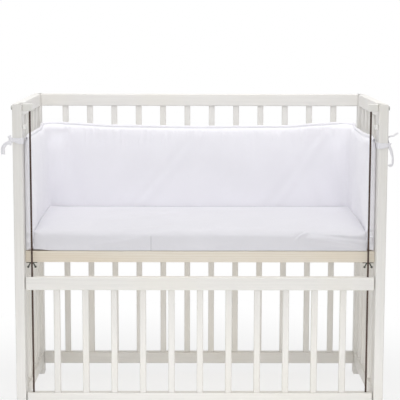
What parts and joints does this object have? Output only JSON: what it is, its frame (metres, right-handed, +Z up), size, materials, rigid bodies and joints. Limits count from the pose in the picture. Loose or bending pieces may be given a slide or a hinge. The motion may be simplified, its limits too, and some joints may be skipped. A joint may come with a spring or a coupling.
{
  "type": "padded baby nest in a bedside cot with its mattress",
  "caption": "Padded U-shaped baby nest tied inside a small white bedside cot, above a mattress in a fitted cover; the cot's front side slides down on guide rods.",
  "frame": {"origin": "middle of the bounding box, at floor level, between the posts' feet", "axes": "+X to the right along the cot's length, +Y to the back, away from the drop side, +Z up"},
  "size_m": [1.0363, 0.4846, 0.84],
  "materials": {
    "paint": "satin off-white lacquer",
    "pale_wood": "bare pale wood, faint grain",
    "plastic": "plain white",
    "rod": "dark brown",
    "steel": "dark, dull",
    "cotton": "white plain weave over wadding",
    "cover": "white fitted cover",
    "ribbon": "soft white ribbon"
  },
  "bodies": {
    "cot": {"post_front_left": "paint", "post_front_right": "paint", "post_back_left": "paint", "post_back_right": "paint", "back_rail_top": "paint", "back_rail_bottom": "paint", "back_bar_01": "paint", "back_bar_02": "paint", "back_bar_03": "paint", "back_bar_04": "paint", "back_bar_05": "paint", "back_bar_06": "paint", "back_bar_07": "paint", "back_bar_08": "paint", "back_bar_09": "paint", "back_bar_10": "paint", "back_bar_11": "paint", "back_bar_12": "paint", "end_rail_left": "paint", "end_bars_left": "paint", "end_rail_right": "paint", "end_bars_right": "paint", "rod_holder_top_left": "plastic", "rod_holder_bottom_left": "plastic", "rod_holder_top_right": "plastic", "rod_holder_bottom_right": "plastic", "stop_left": "plastic", "stop_right": "plastic", "rod_left": "rod", "rod_right": "rod", "bolt_left": "steel", "bolt_right": "steel", "bracket_left": "steel", "bracket_right": "steel", "base_rail_front": "pale_wood", "base_rail_back": "pale_wood", "base_board": "pale_wood", "mattress": "cover", "nest_pad": "cotton", "nest_binding": "cotton", "tie_left": "ribbon", "tie_right": "ribbon"},
    "drop_side": {"drop_rail_top": "paint", "drop_rail_bottom": "paint", "drop_bar_01": "paint", "drop_bar_02": "paint", "drop_bar_03": "paint", "drop_bar_04": "paint", "drop_bar_05": "paint", "drop_bar_06": "paint", "drop_bar_07": "paint", "drop_bar_08": "paint", "drop_bar_09": "paint", "drop_bar_10": "paint", "drop_bar_11": "paint"}
  },
  "joints": [
    {"name": "drop_side_slide", "type": "slide", "parent": "cot", "child": "drop_side", "axis": [0, 0, 1], "range_m": [0, 0.39]}
  ]
}
